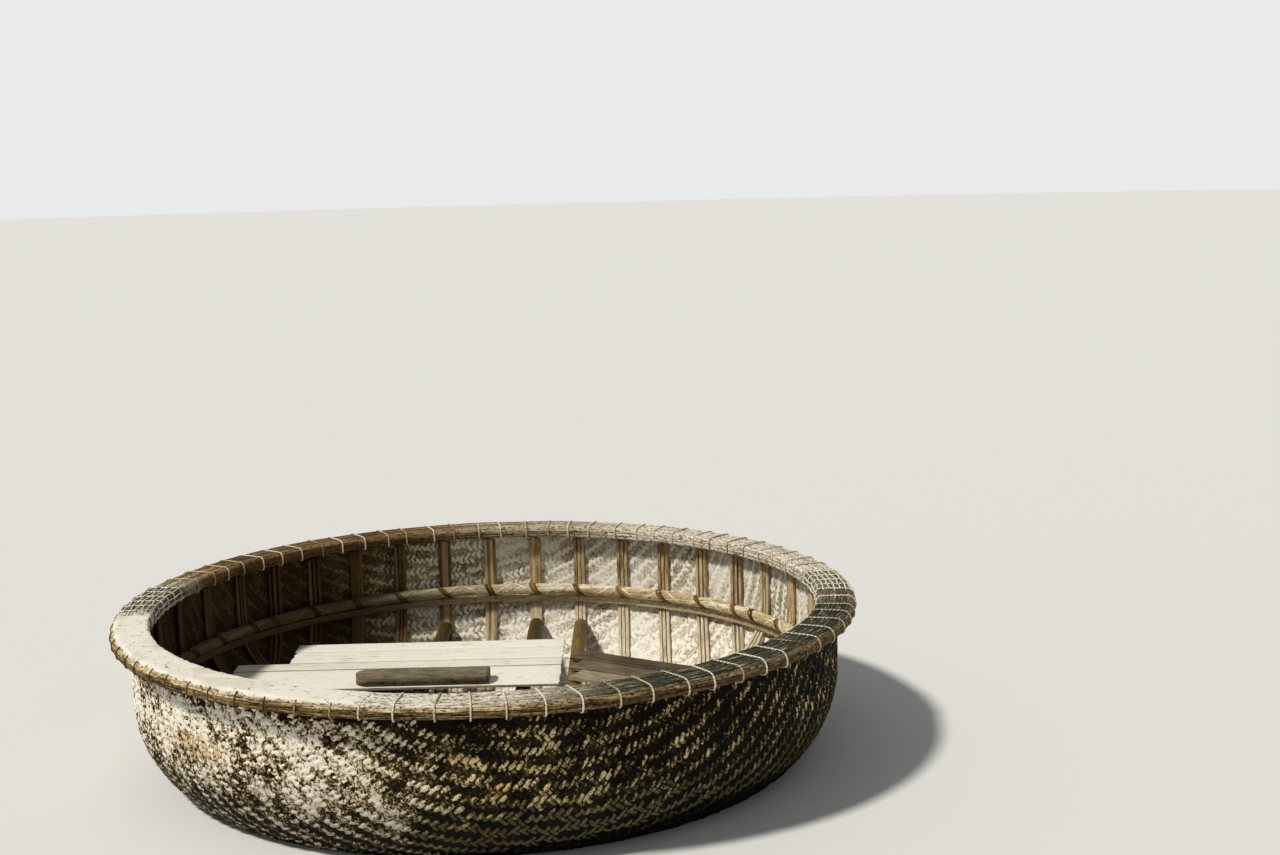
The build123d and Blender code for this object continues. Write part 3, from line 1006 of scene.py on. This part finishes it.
core = rim_outline(-SPLIT_THICK * 0.7)
core_tree = turned_tree("rim_core_shell", tar_finish)
grow("rim_core", core_tree, "rim_bamboo", rim_profile(core + core[:1]), Around=145, Along=60)

# %% [markdown]
# At the near left the rim's top is caked with the same coat, which hides the splits
# and the cord. A tree lays a sheet over part of the section. Where a mask falls to
# nothing the sheet dips under the splits, so its border comes out ragged by itself.


# %% Tree: a caked coat over part of the rim
def cake_tree(name, material):
    given = shape_tree(name, "Start Sweep Thick", "Around Over")
    thick = given["Thick"]
    grid = flat_grid(1.0, 1.0, given["Around"], given["Over"])
    x, y, _ = split(position())
    angle = mul_add(add(x, 0.5), given["Sweep"], given["Start"])
    sample = on_line(given, "Factor", add(y, 0.5))
    radius, _, level = split(sample["Position"])
    way_r, _, way_z = split(sample["Tangent"])
    ragged = sub(noise(join(mul(angle, 9.0), mul(y, 2.0)), 3.0, 4.0, 0.65), 0.5)
    # How far a point is in from the sheet's ends and sides, where it dips under
    inset = calc("MINIMUM", mul(sub(0.5, size_of(x)), 9.0), mul(sub(0.5, size_of(y)), 3.0))
    cover = fade(mul_add(ragged, 0.9, inset), 0.10, 0.24)
    deep = mul_add(thick, 2.2, mul(ragged, 0.003))
    lift = sub(mul(cover, deep), mul(thick, 1.2))
    radius = sub(radius, mul(way_z, lift))
    level = mul_add(way_r, lift, level)
    bent = swept(grid, angle, radius, level)
    return close_tree(lay("GeometryNodeFlipFaces", {"Mesh": bent}), material)


# %% Cake the near left of the rim
CAKED = (187, 259)
CAKE_THICK = 0.0030

cake = cake_tree("rim_cake_sheet", caked_finish)
over_top = rim_profile(rim_outline()[8:18])
start, sweep = math.radians(CAKED[0]), math.radians(CAKED[1] - CAKED[0])
sizes = dict(Start=start, Sweep=sweep, Thick=CAKE_THICK, Around=150, Over=24)
grow("rim_cake", cake, "rim_bamboo", over_top, **sizes)

# %% [markdown]
# Cord is passed through the mat under the rim and pulled tight over it, one turn
# about every 85 mm. Where the rim's ends overlap, turns lie close and other cords run
# lengthwise over and under them. Each cord's line is worked out from the section,
# set a little off it, and leans a little at random.

# %% The rim's cord
LASHINGS = 76
JOINT_PITCH = 1.55
JOINTS = {"left": (170, 186), "right": (-2, 11)}
BINDING_PITCH = 0.0160


def cord_turn(degrees, lean):
    """One turn of cord over the rim. Lean is how far it slips along the rim as it crosses."""
    sunk = 0.0018 if CAKED[0] < degrees < CAKED[1] else 0.0
    points = rim_outline(CORD / 2 - 0.0004 - sunk)
    line = []
    count = len(points)
    for i in range(count):
        a, b = points[i], points[(i + 1) % count]
        for share in (0.0, 0.5) if (b - a).length > 0.02 else (0.0,):
            place = a + (b - a) * share
            angle = math.radians(degrees) + (lean * place.x + lean * 0.4 * place.y) / rim_middle
            off = Vector((place.x, place.y * 1.4)).normalized()
            line.append(rim_point(angle, place, off))
    return line


pitch = 360 / LASHINGS
draw = random.Random(41)
singles = []
for i in range(LASHINGS):
    angle = pitch * (i + 0.5)
    gaps = [(angle + turn, start, end) for start, end in JOINTS.values() for turn in (-360, 0, 360)]
    if not any(start - pitch / 2 < at < end + pitch / 2 for at, start, end in gaps):
        singles.append(cord_turn(angle + draw.uniform(-0.5, 0.5), draw.uniform(-0.02, 0.16)))
cord_sizes = dict(Wide=CORD * 0.92, Thick=CORD * 0.92, Corner=1.0, Sides=7, Knuckles=1.0, Waver=0.12)
source = paths(singles, closed=True, seed=42)
grow("rim_cord", cord_line, "cord", source, ["rim_lashings"], Step=0.007, **cord_sizes)

# At each joint: turns over the rim, then cords woven lengthwise over and under them
for side, (start, end) in JOINTS.items():
    count = int((end - start) / JOINT_PITCH)
    places = [start + JOINT_PITCH * i for i in range(0, count + 1, 2)]
    source = paths([cord_turn(place, draw.uniform(-0.02, 0.02)) for place in places], closed=True, seed=43)
    node = f"joint_lashings_{side}"
    grow(f"joint_turns_{side}", cord_line, "cord", source, [node], Step=0.007, **cord_sizes)
    path = rim_outline(CORD * 0.5)[5:23]
    lines = []
    for row in range(int(length_of(path) / BINDING_PITCH) + 1):
        place, off = at_length(path, BINDING_PITCH * (row + 0.3))
        line = []
        for i in range(-1, 2 * count + 2):
            angle = math.radians(start + JOINT_PITCH * i / 2)
            lift = CORD * 0.45 * math.cos(math.pi * (i / 4 + row))
            line.append(rim_point(angle, place + off * lift, off))
        lines.append(line)
    thin = {**cord_sizes, "Wide": CORD * 0.75, "Thick": CORD * 0.75}
    grow(f"joint_binding_{side}", cord_line, "cord", paths(lines, seed=44), Step=0.0035, **thin)

# %% [markdown]
# Bent ribs of split bamboo press the mat out into its bowl. The lower set runs away
# from the viewer and the upper set across it. A rib is two or three strips side by
# side. Each strip lies in an upright plane, so its line is where that plane cuts
# the bowl's inside face, and it faces the way that face does.

# %% The ribs
RIB_WIDE = 0.038
RIB_THICK = 0.010
RIB_PITCH = 9
RIB_TOP = RIM_UNDER - 2 * SEAT - CORD


def rib_offsets(count):
    return [WALL_INSIDE * math.sin(math.radians(RIB_PITCH * (i + 0.5))) for i in range(count // 2)]


def rib_line(face, offset, across_boat, top, steps=72):
    """Where an upright plane cuts the bowl, from one top end to the other."""
    reach = math.sqrt(face.wall**2 - offset**2)
    found = []
    for i in range(steps + 1):
        y = reach * math.sin(math.pi * (i / steps - 0.5))
        r = math.hypot(offset, y)
        z, (out, rise) = face.at(r)
        found.append((Vector((offset, y, z)), Vector((out * offset / r, out * y / r, rise))))
    walls = []
    for foot, way in (found[0], found[-1]):
        steps_up = [(top - foot.z) * share for share in (0.34, 0.67, 1.0)]
        walls.append([(foot + Vector((0, 0, step_up)), way) for step_up in steps_up])
    found = walls[0][::-1] + found + walls[1]
    if across_boat:
        found = [(Vector((-p.y, p.x, p.z)), Vector((-n.y, n.x, n.z))) for p, n in found]
    return found


lower_face = Face(WALL_INSIDE - SEAT, WALL_DROP, BILGE_RADIUS - WALL - SEAT)
upper_face = Face(WALL_INSIDE - SEAT, WALL_DROP - (WALL + RIB_THICK + 2 * SEAT), BILGE_RADIUS)
rib_sizes = dict(Corner=0.6, Sides=8, Step=0.016, Knuckles=0.27, Swell=0.10, Waver=0.10, Rough=0.0016)
draw = random.Random(5)
RIB_SETS = (("lower_ribs", lower_face, 12, False), ("upper_ribs", upper_face, 8, True))
for name, face, count, turned in RIB_SETS:
    lines = []
    for offset in rib_offsets(count):
        for side in (-1, 1):
            strips = draw.choice((3, 3, 4))
            for i in range(strips):
                place = side * offset + RIB_WIDE * ((i + 0.5) / strips - 0.5)
                top = RIB_TOP - draw.uniform(0.001, 0.010)
                lines.append(rib_line(face.inside(RIB_THICK / 2), place, turned, top))
    source = paths(lines, seed=50 + count)
    sizes = dict(Wide=RIB_WIDE / 3.15, Thick=RIB_THICK - 0.001, **rib_sizes)
    grow(f"{name}_strips", rib_cane, "rib_bamboo", source, [name], **sizes)

# %% [markdown]
# A hoop is tied inside the ribs at half height. It is a bundle of thin canes wrapped
# round with a flat strip, and its ties go round it at each rib. The wrap's line is a
# helix round a ring, which is easier to write in Python than to bend by nodes.

# %% The hoop inside
HOOP_THICK = 0.038
BUNDLE_CANES = 6
BUNDLE_TWISTS = 5
WRAP_TURNS = 33
CANE_INSET = 0.0085
WRAP_INSET = 0.0006
TIE_PROUD = 0.0002

hoop_level = sum(corner.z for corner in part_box("mid_hoop")) / 2
hoop_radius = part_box("mid_hoop")[1].x - HOOP_THICK / 2


def on_hoop(angle, roll, size):
    """A place round the hoop's bundle, and the way it faces, away from the bundle's middle."""
    out = Vector((math.cos(angle), math.sin(angle), 0))
    way = out * math.cos(roll) + Vector((0, 0, math.sin(roll)))
    return out * hoop_radius + Vector((0, 0, hoop_level)) + way * size, way


bundle = []
size = HOOP_THICK / 2 - CANE_INSET
for first in full_turn(BUNDLE_CANES):
    bundle.append([on_hoop(turn, first + turn * BUNDLE_TWISTS, size) for turn in full_turn(RING_STEPS)])
source = paths(bundle, closed=True, seed=61)
sizes = dict(Corner=0.85, Sides=8, Step=0.020, Knuckles=0.4, Swell=0.06, Waver=0.1, Rough=0.001)
grow("hoop_bundle", hoop_cane, "hoop_bamboo", source, ["mid_hoop"], Wide=0.0185, Thick=0.0150, **sizes)

wraps = []
size = HOOP_THICK / 2 - WRAP_INSET
steps = full_turn(WRAP_TURNS * 18)
for start, way in ((0.0, 1), (1.3, 1), (2.9, -1)):
    wraps.append([on_hoop(turn, start + way * turn * WRAP_TURNS, size) for turn in steps])
sizes = dict(Corner=0.6, Sides=6, Step=0.009, Knuckles=1.0, Swell=0.0, Waver=0.35, Rough=0.0)
source = paths(wraps, closed=True, seed=62)
grow("hoop_wrap", wrap_cane, "hoop_bamboo", source, Wide=0.0042, Thick=0.0013, **sizes)

ties = []
size = HOOP_THICK / 2 + TIE_PROUD
for count, quarter in ((12, 0.0), (8, math.pi / 2)):
    for offset in rib_offsets(count):
        for side in (-1, 1):
            for end in (-1, 1):
                angle = math.acos(side * offset / hoop_radius) * end + quarter
                slant = draw.uniform(0.010, 0.026)
                for shift in (-0.009, -0.003, 0.003, 0.009):
                    rolls = [(angle + shift + slant * math.sin(roll), roll) for roll in full_turn(12)]
                    ties.append([on_hoop(at, roll, size) for at, roll in rolls])
source = paths(ties, closed=True, seed=63)
sizes = dict(Corner=0.8, Sides=5, Step=0.009, Knuckles=1.0, Swell=0.0, Waver=0.1, Rough=0.0)
tie_cane = cane_tree("tie_cane", tie_finish)
grow("hoop_ties", tie_cane, "hoop_bamboo", source, Wide=0.0052, Thick=0.0014, **sizes)

low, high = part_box("mid_hoop_strip")
line = []
for turn in full_turn(RING_STEPS):
    out = Vector((math.cos(turn), math.sin(turn), 0))
    sway = field.noise(out * 6) * 0.0015
    line.append((out * (high.x - 0.003 + sway) + Vector((0, 0, (low.z + high.z) / 2)), out))
sizes = dict(Wide=high.z - low.z, Thick=0.0055, Corner=0.45, Sides=10, Step=0.016, Knuckles=0.36)
source = paths([line], closed=True, seed=65)
extra = dict(Swell=0.04, Waver=0.05, Rough=0.001)
grow("under_strip", hoop_cane, "hoop_bamboo", source, ["mid_hoop_strip"], **sizes, **extra)

# %% [markdown]
# Whole bamboo poles lie on the lower ribs and carry the floor. They are the same
# cane with a round section and stronger knuckles.

# %% The floor poles
POLES = 5
pole_sizes = dict(Corner=1.0, Sides=16, Step=0.010, Knuckles=0.26, Swell=0.05, Waver=0.03, Rough=0.0006)
for number in range(1, POLES + 1):
    node = f"floor_pole_{number}"
    low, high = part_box(node)
    x = (low.x + high.x) / 2
    z = (low.z + high.z) / 2
    start = low.y + 0.018
    end = high.y - 0.018 if high.y > 0.5 else high.y
    line = [(Vector((x, start + (end - start) * i / 40, z)), (0, 0, 1)) for i in range(41)]
    thick = (high.z - low.z) * 0.94
    source = paths([line], seed=70 + number)
    grow(f"pole_{number}", pole_cane, "pole_bamboo", source, [node], Wide=thick, Thick=thick, **pole_sizes)

# %% [markdown]
# The floor is loose boards, bleached and split. A wide board here is two or three
# lengths side by side whose ends have worn unevenly. A tree sets a finely divided
# slab at each point of its source, sized by what is stored there, frays its ends,
# rounds its edges and furrows its faces.


# %% Tree: weathered slabs
def slab_tree(name, material):
    given = shape_tree(name, "Fray Wear Rough", "Along Over")
    fed = {"Vertices X": given["Along"], "Vertices Y": given["Over"], "Vertices Z": 4}
    slab = lay("GeometryNodeMeshCube", fed)
    slab = store(slab, "unit", position(), "FLOAT_VECTOR")
    angle = stored("angle")
    turn = lay("FunctionNodeEulerToRotation", {0: join(0.0, 0.0, angle)})
    size = stored("size", "FLOAT_VECTOR")
    fed = {"Points": given["Geometry"], "Instance": slab, "Rotation": turn, "Scale": size}
    real = realized(lay("GeometryNodeInstanceOnPoints", fed))
    unit = stored("unit", "FLOAT_VECTOR")
    real = store(real, "grain", calc3("MULTIPLY", unit, size), "FLOAT_VECTOR")
    ux, uy, uz = split(unit)
    gx, gy, gz = split(stored("grain", "FLOAT_VECTOR"))
    seed = mul(stored("shade"), 70.0)

    def edge_of(value, power):
        return calc("POWER", size_of(mul(value, 2.0)), power)

    # Frayed ends: each lane of fibres stops at its own place, never past the slab
    lane = join(mul(gy, 90.0), seed, mul(gz, 60.0))
    short = mul(noise(lane, 1.0, 3.0, 0.7), given["Fray"])
    pull = mul(edge_of(ux, 14.0), short, calc("SIGN", ux))
    # Worn edges, and furrows along the grain
    sink = mul(larger(edge_of(uy, 10.0), edge_of(ux, 60.0)), given["Wear"])
    spot = join(mul(gx, 3.0), mul(gy, 55.0), seed)
    furrow = mul(noise(spot, 1.0, 4.0, 0.65), given["Rough"])
    is_face = calc("GREATER_THAN", size_of(uz), 0.4)
    drop = mul(add(sink, furrow), calc("SIGN", uz), is_face)
    angle = stored("angle")
    shift = join(mul(pull, calc("COSINE", angle)), mul(pull, calc("SINE", angle)), drop)
    inward = times(shift, -1.0, -1.0, -1.0)
    return close_tree(moved(real, Offset=inward), material, crease=0.6)


def slab_source(slabs, seed):
    """Points for the slab tree. A slab is its middle, its size and its turn."""
    mesh = paths([[(middle, (0, 0, 1))] for middle, _, _ in slabs], seed=seed)
    sizes = [value for _, size, _ in slabs for value in size]
    mesh.attributes.new("size", "FLOAT_VECTOR", "POINT").data.foreach_set("vector", sizes)
    angles = [angle for _, _, angle in slabs]
    mesh.attributes.new("angle", "FLOAT", "POINT").data.foreach_set("value", angles)
    return mesh


# %% The floor boards
board_slab = slab_tree("board_slab", board_finish)
plank_slab = slab_tree("plank_slab", plank_finish)
slab_sizes = dict(Along=60, Over=16, Fray=0.022, Wear=0.0022, Rough=0.0026)
draw = random.Random(8)
for side in ("far", "near"):
    for number, lanes in ((1, 1), (2, 1), (3, 2)):
        node = f"{side}_board_{number}"
        low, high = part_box(node)
        shares = [draw.uniform(0.8, 1.3) for _ in range(lanes)]
        slabs = []
        y = low.y
        for share in shares:
            wide = (high.y - low.y) * share / sum(shares)
            cut = draw.uniform(0.0, 0.05) if lanes > 1 else 0.0
            size = (high.x - low.x - cut, wide - 0.002, high.z - low.z - draw.uniform(0, 0.002))
            middle = ((low.x + cut + high.x) / 2, y + wide / 2, (low.z + high.z) / 2)
            slabs.append((middle, size, draw.uniform(-0.0012, 0.0012)))
            y += wide
        source = slab_source(slabs, 80 + number)
        grow(f"{side}_boards_{number}", board_slab, "board_wood", source, [node], **slab_sizes)

# %% [markdown]
# Three grey planks lie askew at the right. Their boxes are no help, because they
# are turned, so the corners of each measured plank are turned back first.

# %% The planks askew
PLANK_TURN = math.radians(-31)

unturn = Matrix.Rotation(-PLANK_TURN, 3, "Z")
for number in (1, 2, 3):
    node = f"side_plank_{number}"
    corners = [unturn @ v.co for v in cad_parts[node].data.vertices]
    low = Vector([min(c[i] for c in corners) for i in range(3)])
    high = Vector([max(c[i] for c in corners) for i in range(3)])
    middle = unturn.inverted() @ ((low + high) / 2)
    size = high - low - Vector((0, 0.002, 0))
    source = slab_source([(middle, size, PLANK_TURN)], 90 + number)
    grow(f"askew_plank_{number}", plank_slab, "grey_plank", source, [node], **slab_sizes)

# %% [markdown]
# A half-round length of driftwood lies on the boards as a seat. Its rule is short
# but its surface isn't, so it is drawn ring by ring in Python and roughened there.

# %% The seat block
SIDE_TALL = 0.014
STATIONS = 56
ROUND = 22

low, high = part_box("seat_block")
half = (high.y - low.y) / 2
tall_at_middle = high.z - low.z
verts, faces, grains = [], [], []
for i in range(STATIONS):
    x = (high.x - low.x) * (i / (STATIONS - 1)) ** 1.25
    plan = max(0.03, math.sqrt(max(0.0, 1 - (1 - min(x / half, 1)) ** 2)))
    for j in range(ROUND):
        turn = math.pi * j / (ROUND - 1)
        y = half * math.cos(turn) * plan
        z = SIDE_TALL + (tall_at_middle - SIDE_TALL) * math.sin(turn) * (0.55 + 0.45 * plan)
        if j in (0, ROUND - 1):
            z = 0.0
        rough = abs(field.noise(Vector((x * 9, y * 60, z * 60)))) * 0.0022
        verts.append((low.x + x, low.y + half + y * (1 - rough * 8), low.z + max(0.0, z - rough)))
        grains.extend((x, turn * half, 0.0))
for i in range(STATIONS - 1):
    for j in range(ROUND):
        a, b = i * ROUND + j, i * ROUND + (j + 1) % ROUND
        faces.append((a, b, b + ROUND, a + ROUND))
faces.append(tuple(range(ROUND))[::-1])
faces.append(tuple((STATIONS - 1) * ROUND + j for j in range(ROUND)))
block = bpy.data.meshes.new("driftwood")
block.from_pydata(verts, [], faces)
block.attributes.new("grain", "FLOAT_VECTOR", "POINT").data.foreach_set("vector", grains)
block.attributes.new("shade", "FLOAT", "POINT").data.foreach_set("value", [0.3] * len(verts))
block.materials.append(driftwood_finish)
block.shade_smooth()
settle("driftwood_seat", block, "driftwood", "seat_block")
